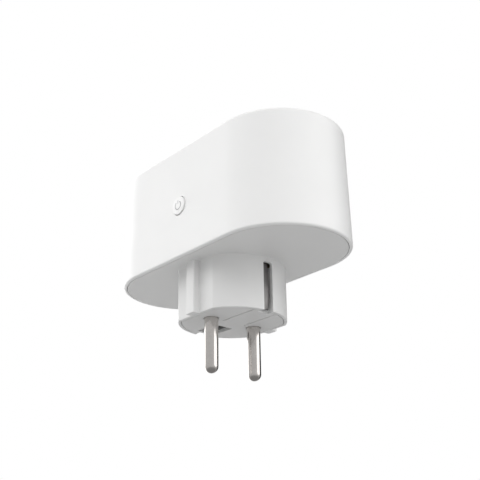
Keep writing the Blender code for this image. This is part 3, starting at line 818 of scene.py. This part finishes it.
class Surface(Nodes):
    """A procedural material built node by node, in object coordinates (metres)."""

    def __init__(self, name):
        self.material = bpy.data.materials.new(name)
        self.material.use_nodes = True
        super().__init__(self.material.node_tree)
        self.shader = self.nodes["Principled BSDF"]
        self.place = self.add("ShaderNodeTexCoord").outputs["Object"]
        self.bumps = []

    def scaled(self, stretch):
        """Object coordinates multiplied along each axis, to stretch a pattern."""
        mapping = self.add("ShaderNodeMapping")
        self.plug(mapping.inputs["Vector"], self.place)
        mapping.inputs["Scale"].default_value = stretch
        return mapping.outputs["Vector"]

    def noise(self, size, detail=2.0, roughness=0.5, stretch=None, distortion=0.0):
        """Noise whose features are about size millimetres across."""
        node = self.add("ShaderNodeTexNoise")
        self.plug(node.inputs["Vector"], self.scaled(stretch) if stretch else self.place)
        node.inputs["Scale"].default_value = 1 / (size * MM)
        node.inputs["Detail"].default_value = detail
        node.inputs["Roughness"].default_value = roughness
        node.inputs["Distortion"].default_value = distortion
        return node.outputs["Fac"]

    def cells(self, size, feature="F1"):
        """The distance to the middle or the edge of cells about size millimetres across."""
        node = self.add("ShaderNodeTexVoronoi", feature=feature)
        self.plug(node.inputs["Vector"], self.place)
        node.inputs["Scale"].default_value = 1 / (size * MM)
        return node.outputs["Distance"]

    def mix(self, factor, first, second):
        """A colour between two, by a factor from 0 to 1."""
        node = self.add("ShaderNodeMix", data_type="RGBA")
        self.plug(node.inputs[0], factor)
        self.plug(node.inputs[6], first)
        self.plug(node.inputs[7], second)
        return node.outputs[2]

    def axis(self, letter):
        """One of the place's coordinates, in metres."""
        node = self.add("ShaderNodeSeparateXYZ")
        self.plug(node.inputs[0], self.place)
        return node.outputs[letter]

    def bump(self, height, depth):
        """Adds relief whose full height is depth millimetres."""
        node = self.add("ShaderNodeBump")
        node.inputs["Strength"].default_value = 1.0
        node.inputs["Distance"].default_value = depth * MM
        self.plug(node.inputs["Height"], height)
        if self.bumps:
            self.plug(node.inputs["Normal"], self.bumps[-1])
        self.bumps.append(node.outputs["Normal"])

    def done(self, colour, roughness, **fixed):
        """Connects colour, roughness and relief, and sets the shader's constant values."""
        self.plug(self.shader.inputs["Base Color"], colour)
        self.plug(self.shader.inputs["Roughness"], roughness)
        if self.bumps:
            self.plug(self.shader.inputs["Normal"], self.bumps[-1])
        for key, value in fixed.items():
            self.shader.inputs[key.replace("_", " ")].default_value = value
        return self.material


def tint(colour, factor):
    """A colour made lighter or darker, with its alpha."""
    return tuple(min(channel * factor, 1.0) for channel in colour) + (1.0,)


def moulded_plastic(name, colour, rough, grain=0.3, relief=0.004):
    """Moulded plastic: cloudy flow marks, a fine eroded grain, slight sink, handling polish and a
    painted highlight on its convex edges.
    """
    surface = Surface(name)
    cloud = surface.ranged(surface.noise(22, 3, 0.6), 0.35, 0.65)
    base = surface.mix(cloud, tint(colour, 0.985), tint(colour, 1.0))
    speck = surface.ranged(surface.noise(0.9, 2, 0.7), 0.68, 0.8, 0.0, 0.5)
    base = surface.mix(speck, base, tint(colour, 0.965))
    # Painted highlight: convex edges, found by pointiness, are made slightly lighter.
    pointed = surface.add("ShaderNodeNewGeometry").outputs["Pointiness"]
    edge = surface.ranged(pointed, 0.52, 0.6)
    base = surface.mix(surface.math("MULTIPLY", edge, 0.2), base, tint(colour, 1.05))
    polish = surface.ranged(surface.noise(9, 4, 0.6), 0.3, 0.7, rough - 0.05, rough + 0.06)
    grainy = surface.ranged(surface.noise(grain, 2, 0.6), 0.3, 0.7, -0.02, 0.03)
    roughness = surface.math("ADD", polish, grainy)
    surface.bump(surface.noise(3.5, 2, 0.5), relief * 0.6)
    surface.bump(surface.noise(grain, 3, 0.6), relief)
    return surface.done(base, roughness, Specular_IOR_Level=0.5, IOR=1.5)


def drawn_metal(name, colour, rough, stretch, tarnish=0.9, darken_below=None):
    """Plated or rolled metal: fine lines along its drawing direction, faint stains and scuffs."""
    surface = Surface(name)
    lines = surface.noise(0.18, 3, 0.7, stretch)
    stain = surface.ranged(surface.noise(3.0, 4, 0.65), 0.42, 0.72)
    base = surface.mix(stain, tint(colour, 1.0), tint(colour, tarnish))
    base = surface.mix(surface.ranged(lines, 0.3, 0.7, 0.0, 0.35), base, tint(colour, 0.93))
    scuffs = surface.ranged(surface.noise(0.5, 2, 0.5, (1, 1, 0.12), 0.6), 0.62, 0.72, 0.0, 0.08)
    fine = surface.ranged(lines, 0.25, 0.75, rough - 0.04, rough + 0.05)
    stained = surface.math("MULTIPLY", stain, 0.04)
    roughness = surface.math("ADD", surface.math("ADD", fine, scuffs), stained)
    # Darker towards the bottom, below a given height.
    if darken_below is not None:
        limits = ((darken_below - 0.6) * MM, darken_below * MM)
        darkening = surface.ranged(surface.axis("Z"), *limits, 1.0, 0.0)
        base = surface.mix(surface.math("MULTIPLY", darkening, 0.8), base, tint(colour, 0.8))
    surface.bump(lines, 0.0015)
    surface.bump(surface.noise(2.2, 2, 0.5), 0.0024)
    return surface.done(base, roughness, Metallic=1.0)


def board_laminate(name):
    """Solder mask over copper: broad tracks, fine tracks, vias and the glass weave."""
    surface = Surface(name)
    weave = surface.noise(0.5, 2, 0.5)
    mask = surface.mix(weave, (0.012, 0.11, 0.04, 1), (0.018, 0.14, 0.055, 1))
    tracks = surface.cells(3.2, "DISTANCE_TO_EDGE")
    track = surface.ranged(tracks, 0.06, 0.09, 1.0, 0.0)
    base = surface.mix(track, mask, (0.035, 0.26, 0.1, 1))
    vias = surface.ranged(surface.cells(4.5), 0.09, 0.11, 1.0, 0.0)
    base = surface.mix(vias, base, (0.62, 0.6, 0.55, 1))
    surface.bump(track, 0.04)
    surface.bump(weave, 0.01)
    roughness = surface.ranged(surface.noise(1.5, 3), 0.3, 0.7, 0.28, 0.42)
    return surface.done(base, roughness, Specular_IOR_Level=0.5)


def capacitor_sleeve(name, node):
    """Shrink sleeve with a pale polarity stripe, and bare aluminium at the crimped top."""
    low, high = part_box(node)
    surface = Surface(name)
    stripe_edge = low.x + 0.9 * MM
    stripe = surface.ranged(surface.axis("X"), stripe_edge, stripe_edge + 0.1 * MM, 1.0, 0.0)
    sleeve = surface.mix(surface.noise(1.2, 3), (0.02, 0.022, 0.04, 1), (0.035, 0.037, 0.055, 1))
    base = surface.mix(stripe, sleeve, (0.55, 0.56, 0.58, 1))
    top = surface.ranged(surface.axis("Z"), high.z - 0.25 * MM, high.z - 0.2 * MM)
    base = surface.mix(top, base, (0.62, 0.63, 0.64, 1))
    surface.bump(surface.noise(0.8, 3), 0.01)
    roughness = surface.ranged(surface.noise(0.6, 3), 0.3, 0.7, 0.25, 0.42)
    return surface.done(base, roughness)


def grained(name, light, dark, size, rough, relief, **fixed):
    """A granular surface, for ferrite, ceramic and dipped coatings."""
    surface = Surface(name)
    grain = surface.noise(size, 4, 0.7)
    pits = surface.ranged(surface.cells(size * 2.5), 0.0, 0.35, 1.0, 0.0)
    base = surface.mix(surface.ranged(grain, 0.3, 0.7), dark + (1.0,), light + (1.0,))
    base = surface.mix(surface.math("MULTIPLY", pits, 0.4), base, tint(dark, 0.7))
    surface.bump(grain, relief)
    roughness = surface.ranged(grain, 0.3, 0.7, rough - 0.07, rough + 0.07)
    return surface.done(base, roughness, **fixed)


def banded(name, light, dark, pitch, rough):
    """Insulating tape in overlapping turns along Z."""
    surface = Surface(name)
    wave = surface.add("ShaderNodeTexWave", bands_direction="Z", wave_profile="SAW")
    surface.plug(wave.inputs["Vector"], surface.place)
    wave.inputs["Scale"].default_value = 1 / (pitch * MM) / 3.2
    wave.inputs["Distortion"].default_value = 0.6
    turns = wave.outputs["Fac"]
    base = surface.mix(turns, dark + (1.0,), light + (1.0,))
    patches = surface.ranged(surface.noise(2.5, 3), 0.4, 0.8, 0.0, 0.5)
    base = surface.mix(patches, base, tint(dark, 0.8))
    surface.bump(turns, 0.05)
    roughness = surface.ranged(surface.noise(0.8, 3), 0.3, 0.7, rough - 0.06, rough + 0.08)
    return surface.done(base, roughness)


# ---- finishes ----


def dress(nodes, material):
    """Gives carried-over nodes a material in every slot."""
    for node in nodes:
        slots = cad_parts[node].data.materials
        if not slots:
            slots.append(material)
        for index in range(len(slots)):
            slots[index] = material


def show(piece, material, slot, body, *replaced):
    """Finishes a piece, rides it on a body, and lets it stand for the nodes it replaces."""
    piece.data.materials.clear()
    piece.data.materials.append(material)
    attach(piece, body)
    if replaced:
        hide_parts(*replaced)


def dress_visible():
    """Builds every visible piece. The underside's plate is a darker copy of the shell's white, as
    painted shade beneath the housing; the core is darker than the shell.
    """
    white = moulded_plastic("housing_plastic", (0.88, 0.88, 0.875), 0.36)
    # Painted shade: the underside plate is the shell's housing white set darker, for the shade
    # beneath the housing.
    cover = moulded_plastic("cover_plastic_painted_shade", (0.775, 0.775, 0.77), 0.4)
    core = moulded_plastic("core_plastic", (0.73, 0.73, 0.725), 0.42, 0.25, 0.003)
    cup = moulded_plastic("cup_plastic", (0.86, 0.86, 0.855), 0.4)
    button = moulded_plastic("button_plastic", (0.93, 0.93, 0.925), 0.28, 0.5, 0.002)
    guard = moulded_plastic("guard_plastic", (0.74, 0.74, 0.73), 0.45)
    insert = moulded_plastic("insert_plastic", (0.13, 0.13, 0.132), 0.5, 0.25, 0.006)
    printed = moulded_plastic("symbol_print", (0.42, 0.42, 0.43), 0.45, 0.12, 0.001)
    along_z = (1, 1, 0.03)
    # The pins are darker over the ends of their round tips.
    tip_darkening_top = PIN_TIP + 1.3
    pin = drawn_metal("pin_nickel", (0.72, 0.69, 0.665), 0.15, (1, 1, 0.02), darken_below=tip_darkening_top)
    # Painted shade: the earth strip's nickel is set far darker than the pins' and clips', for the
    # shade deep in its slots.
    strip = drawn_metal("strip_nickel_painted_shade", (0.22, 0.212, 0.21), 0.38, along_z)
    clip = drawn_metal("clip_nickel", (0.66, 0.65, 0.62), 0.26, along_z)
    brass = drawn_metal("sleeve_brass", (0.36, 0.29, 0.17), 0.34, (1, 1, 0.05), tarnish=0.75)

    show(shell_piece(), white, "housing_white", "housing", "outer_shell")
    show(cover_piece(), cover, "housing_white", "housing", "back_cover")
    show(core_piece(), core, "core_white", "housing", "plug_core")
    show(pin_piece("line_pin", -PIN_Y), pin, "nickel_plate", "housing", "plug_pin_line")
    show(pin_piece("neutral_pin", PIN_Y), pin, "nickel_plate", "housing", "plug_pin_neutral")
    show(yoke_piece(), strip, "nickel_plate", "housing", "plug_earth_yoke")
    show(earth_block_piece(), insert, "black_plastic", "housing", "earth_pin_block")
    show(sleeve_piece(), brass, "contact_brass", "housing", "earth_pin_sleeve")
    for letter, x in (("a", -OUTLET_X), ("b", OUTLET_X)):
        clip_node = f"socket_earth_clip_{letter}"
        guard_body = f"guard_{letter}"
        show(cup_piece(letter, x), cup, "housing_white", "housing", f"socket_cup_{letter}")
        show(clip_piece(letter, x), clip, "nickel_plate", "housing", clip_node)
        show(shutter_piece(letter, x), guard, "shutter_plastic", guard_body, f"shutter_{letter}")
    show(button_piece(), button, "button_white", "button", "button_cap")
    show(symbol_piece(), printed, "button_white", "button")


def dress_inside():
    """Gives the carried-over nodes inside the housing their materials."""
    guard = moulded_plastic("guide_plastic", (0.72, 0.72, 0.71), 0.46)
    black = moulded_plastic("black_moulding", (0.03, 0.03, 0.032), 0.45, 0.3, 0.005)
    relay = moulded_plastic("relay_moulding", (0.05, 0.16, 0.4), 0.38, 0.5, 0.004)
    brass = drawn_metal("stamped_brass", (0.72, 0.53, 0.25), 0.28, (0.05, 1, 1), tarnish=0.72)
    steel = drawn_metal("zinc_steel", (0.56, 0.57, 0.59), 0.32, (1, 0.2, 0.2), tarnish=0.85)
    dress(["shutter_guide_a", "shutter_guide_b"], guard)
    dress(["metering_chip", "button_switch", "switch_plunger"], black)
    dress(["relay"], relay)
    contacts = [f"{kind}_contact_{letter}" for kind in ("load", "neutral") for letter in "ab"]
    dress(contacts + ["neutral_bar", "load_bar", "earth_bar", "current_shunt"], brass)
    dress([f"board_screw_{number}" for number in range(1, 5)] + ["radio_shield"], steel)
    dress(["main_board", "wireless_board", "button_board"], board_laminate("green_laminate"))
    for node in ("bulk_capacitor", "output_capacitor"):
        dress([node], capacitor_sleeve(f"{node}_sleeve", node))
    ferrite = grained("sintered_ferrite", (0.1, 0.1, 0.11), (0.05, 0.05, 0.055), 0.15, 0.6, 0.02)
    dipped = grained("dipped_coating", (0.07, 0.22, 0.5), (0.04, 0.15, 0.36), 0.9, 0.3, 0.04)
    ceramic = grained("fuse_ceramic", (0.78, 0.75, 0.68), (0.66, 0.63, 0.55), 0.2, 0.6, 0.02)
    film = grained("filter_case", (0.72, 0.6, 0.18), (0.62, 0.5, 0.12), 0.6, 0.4, 0.01)
    tape = banded("winding_wrap", (0.78, 0.62, 0.14), (0.6, 0.45, 0.08), 1.1, 0.4)
    lens = grained("lens_plastic", (0.92, 0.92, 0.88), (0.85, 0.85, 0.8), 0.4, 0.2, 0.003)
    dress(["transformer_core"], ferrite)
    dress(["surge_varistor"], dipped)
    dress(["thermal_fuse"], ceramic)
    dress(["line_filter_capacitor"], film)
    dress(["transformer_winding"], tape)
    lens.node_tree.nodes["Principled BSDF"].inputs["Transmission Weight"].default_value = 0.6
    dress(["status_light"], lens)


# ---- studio ----


# The camera's direction from the object, its roll and distance, and the point it looks at
CAMERA_AZIMUTH = math.radians(49.466)
CAMERA_ELEVATION = math.radians(-22.057)
CAMERA_ROLL = -0.01445
CAMERA_DISTANCE = 326.05
CAMERA_TARGET = Vector((1.911, 2.235, 31.175))
CAMERA_LENS = 68.0

# Studio light on the surfaces, as (azimuth, elevation, angular radius, radiance), over an even base
SKY_BASE = 0.2
SOFT_BOXES = (
    (-75, 10, 30, 2.4),
    (-25, 45, 24, 2.4),
    (45, 45, 24, 1.2),
    (102, 10, 36, 2.0),
)
# What polished surfaces mirror: two white cards and a dark one in a grey room
CARD_BASE = 0.55
CARDS = (
    (-94, 16, 34, 1.5),
    (126, 16, 25, 1.2),
    (186, 10, 31, -0.55),
)
CARD_LEAST = 0.02
# Their share towards straight down, and the heights of a unit direction where it starts and ends
LOW_SHARE = 0.5
LOW_START = -0.25
LOW_END = -0.65
EDGE_BLUR = 7

FLOOR_LEVEL = -290.0
FLOOR_REACH = 20000.0
# The floor's grey near the object is a painted shadow; it fades to the paler far grey between the
# fade's distances, in metres.
FLOOR_SHADOW_GREY = 0.57
FLOOR_FAR_SHADE = 0.82
FLOOR_FADE = (0.6, 3.0)


def direction(azimuth, elevation):
    """The unit vector towards a place at an azimuth from -Y towards +X and an elevation."""
    flat = math.cos(elevation)
    return Vector((math.sin(azimuth) * flat, -math.cos(azimuth) * flat, math.sin(elevation)))


def add_camera():
    back = direction(CAMERA_AZIMUTH, CAMERA_ELEVATION)
    right = Vector((0, 0, 1)).cross(back).normalized()
    up = back.cross(right)
    cos_roll = math.cos(CAMERA_ROLL)
    sin_roll = math.sin(CAMERA_ROLL)
    turned_right = right * cos_roll + up * sin_roll
    turned_up = up * cos_roll - right * sin_roll
    data = bpy.data.cameras.new("camera")
    data.lens = CAMERA_LENS
    data.sensor_width = 36.0
    data.dof.use_dof = False
    data.clip_start = 0.01
    camera = bpy.data.objects.new("camera", data)
    matrix = Matrix((turned_right, turned_up, back)).transposed().to_4x4()
    matrix.translation = (CAMERA_TARGET + back * CAMERA_DISTANCE) * MM
    camera.matrix_world = matrix
    bpy.context.scene.collection.objects.link(camera)
    bpy.context.scene.camera = camera


def add_floor():
    """A pale floor with a darker disc near the object as a painted shadow beneath it, so far below
    that views from beneath the object are still above it.
    """
    disc = circle(FLOOR_REACH)
    floor = loft("studio_floor", [(disc, FLOOR_LEVEL - 5), (disc, FLOOR_LEVEL)])
    surface = Surface("floor_paint")
    shade = surface.noise(120, 3)
    grey = (FLOOR_SHADOW_GREY,) * 3
    painted_shadow_near = surface.mix(shade, tint(grey, 0.97), tint(grey, 1.03))
    places = [surface.axis(letter) for letter in "XY"]
    squares = [surface.math("MULTIPLY", place, place) for place in places]
    distance = surface.math("SQRT", surface.math("ADD", *squares))
    # Painted shadow: darker floor under the object, fading out to the paler far floor.
    far = surface.ranged(distance, *FLOOR_FADE, smooth_step=True)
    base = surface.mix(far, painted_shadow_near, tint((FLOOR_FAR_SHADE,) * 3, 1.0))
    surface.bump(surface.noise(4, 3), 0.05)
    material = surface.done(base, surface.ranged(shade, 0.3, 0.7, 0.75, 0.85))
    floor.data.materials.append(material)
    floor.visible_glossy = False


class Sky(Nodes):
    """The studio's light by direction: soft boxes for surfaces, and cards for polished ones."""

    def __init__(self, world):
        world.use_nodes = True
        super().__init__(world.node_tree)
        self.nodes.clear()
        self.toward = self.add("ShaderNodeTexCoord").outputs["Generated"]

    def soft_box(self, azimuth, elevation, radius, strength):
        """A round soft box or card with a blurred edge."""
        facing = self.add("ShaderNodeVectorMath", operation="DOT_PRODUCT")
        self.plug(facing.inputs[0], self.toward)
        centre = direction(math.radians(azimuth), math.radians(elevation))
        facing.inputs[1].default_value = centre
        edge = [math.cos(math.radians(radius + sign * EDGE_BLUR)) for sign in (1, -1)]
        inside = self.ranged(facing.outputs["Value"], *edge, smooth_step=True)
        return self.math("MULTIPLY", inside, strength)

    def sum_of(self, base, boxes):
        """An even base with soft boxes added."""
        amount = base
        for box_light in boxes:
            amount = self.math("ADD", self.soft_box(*box_light), amount)
        return amount

    def dim_low(self, amount):
        """The amount, less of it towards straight down, and never below a trace."""
        split = self.add("ShaderNodeSeparateXYZ")
        self.plug(split.inputs[0], self.toward)
        level = self.ranged(split.outputs["Z"], LOW_END, LOW_START, smooth_step=True)
        share = self.math("ADD", self.math("MULTIPLY", level, 1 - LOW_SHARE), LOW_SHARE)
        return self.math("MAXIMUM", self.math("MULTIPLY", amount, share), CARD_LEAST)

    def glow(self, amount=1.0):
        """A white background of an amount."""
        node = self.add("ShaderNodeBackground")
        node.inputs["Color"].default_value = (1, 1, 1, 1)
        self.plug(node.inputs["Strength"], amount)
        return node.outputs[0]

    def choose(self, factor, first, second):
        """The first where the factor is 0, the second where it is 1."""
        node = self.add("ShaderNodeMixShader")
        for target, source in zip(node.inputs, (factor, first, second)):
            self.plug(target, source)
        return node.outputs[0]

    def shine(self, light, mirrored):
        """Lights surfaces with one amount, shows polished ones the other, and is white behind."""
        rays = self.add("ShaderNodeLightPath").outputs
        lit = self.choose(rays["Is Glossy Ray"], self.glow(light), self.glow(mirrored))
        seen = self.choose(rays["Is Camera Ray"], lit, self.glow())
        out = self.add("ShaderNodeOutputWorld")
        self.plug(out.inputs["Surface"], seen)


def add_world():
    """The studio's light, with no lamps."""
    world = bpy.data.worlds.new("studio_world")
    bpy.context.scene.world = world
    sky = Sky(world)
    sky.shine(sky.sum_of(SKY_BASE, SOFT_BOXES), sky.dim_low(sky.sum_of(CARD_BASE, CARDS)))


def add_studio():
    add_camera()
    add_floor()
    add_world()
    bpy.context.scene.view_settings.view_transform = "Standard"


dress_visible()
dress_inside()
add_studio()
